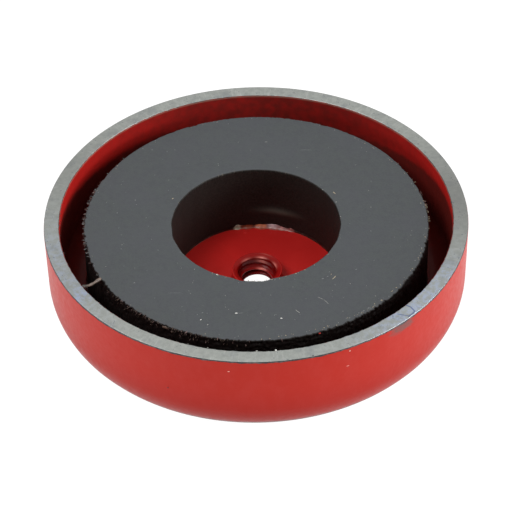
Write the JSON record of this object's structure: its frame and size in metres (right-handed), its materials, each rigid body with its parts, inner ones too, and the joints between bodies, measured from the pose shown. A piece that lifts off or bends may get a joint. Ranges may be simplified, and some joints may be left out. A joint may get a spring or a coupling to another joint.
{
  "type": "lifting magnet",
  "caption": "Round ferrite pot magnet: a ring magnet bonded in a painted steel cup, with a ground rim to grip steel and a threaded centre bush for an eye bolt.",
  "frame": {"origin": "centre of the cup's closed back face", "axes": "+Z along the cup's axis, from the closed back towards the open working face with its ground rim; X and Y are any two square directions across it"},
  "size_m": [0.0666, 0.0666, 0.0168],
  "materials": {
    "red_paint": "satin",
    "ferrite": "matte",
    "epoxy": "satin"
  },
  "bodies": {
    "root": {"steel_cup": "red_paint", "ferrite_ring": "ferrite", "adhesive_bond": "epoxy", "threaded_bush": "red_paint"}
  },
  "joints": []
}
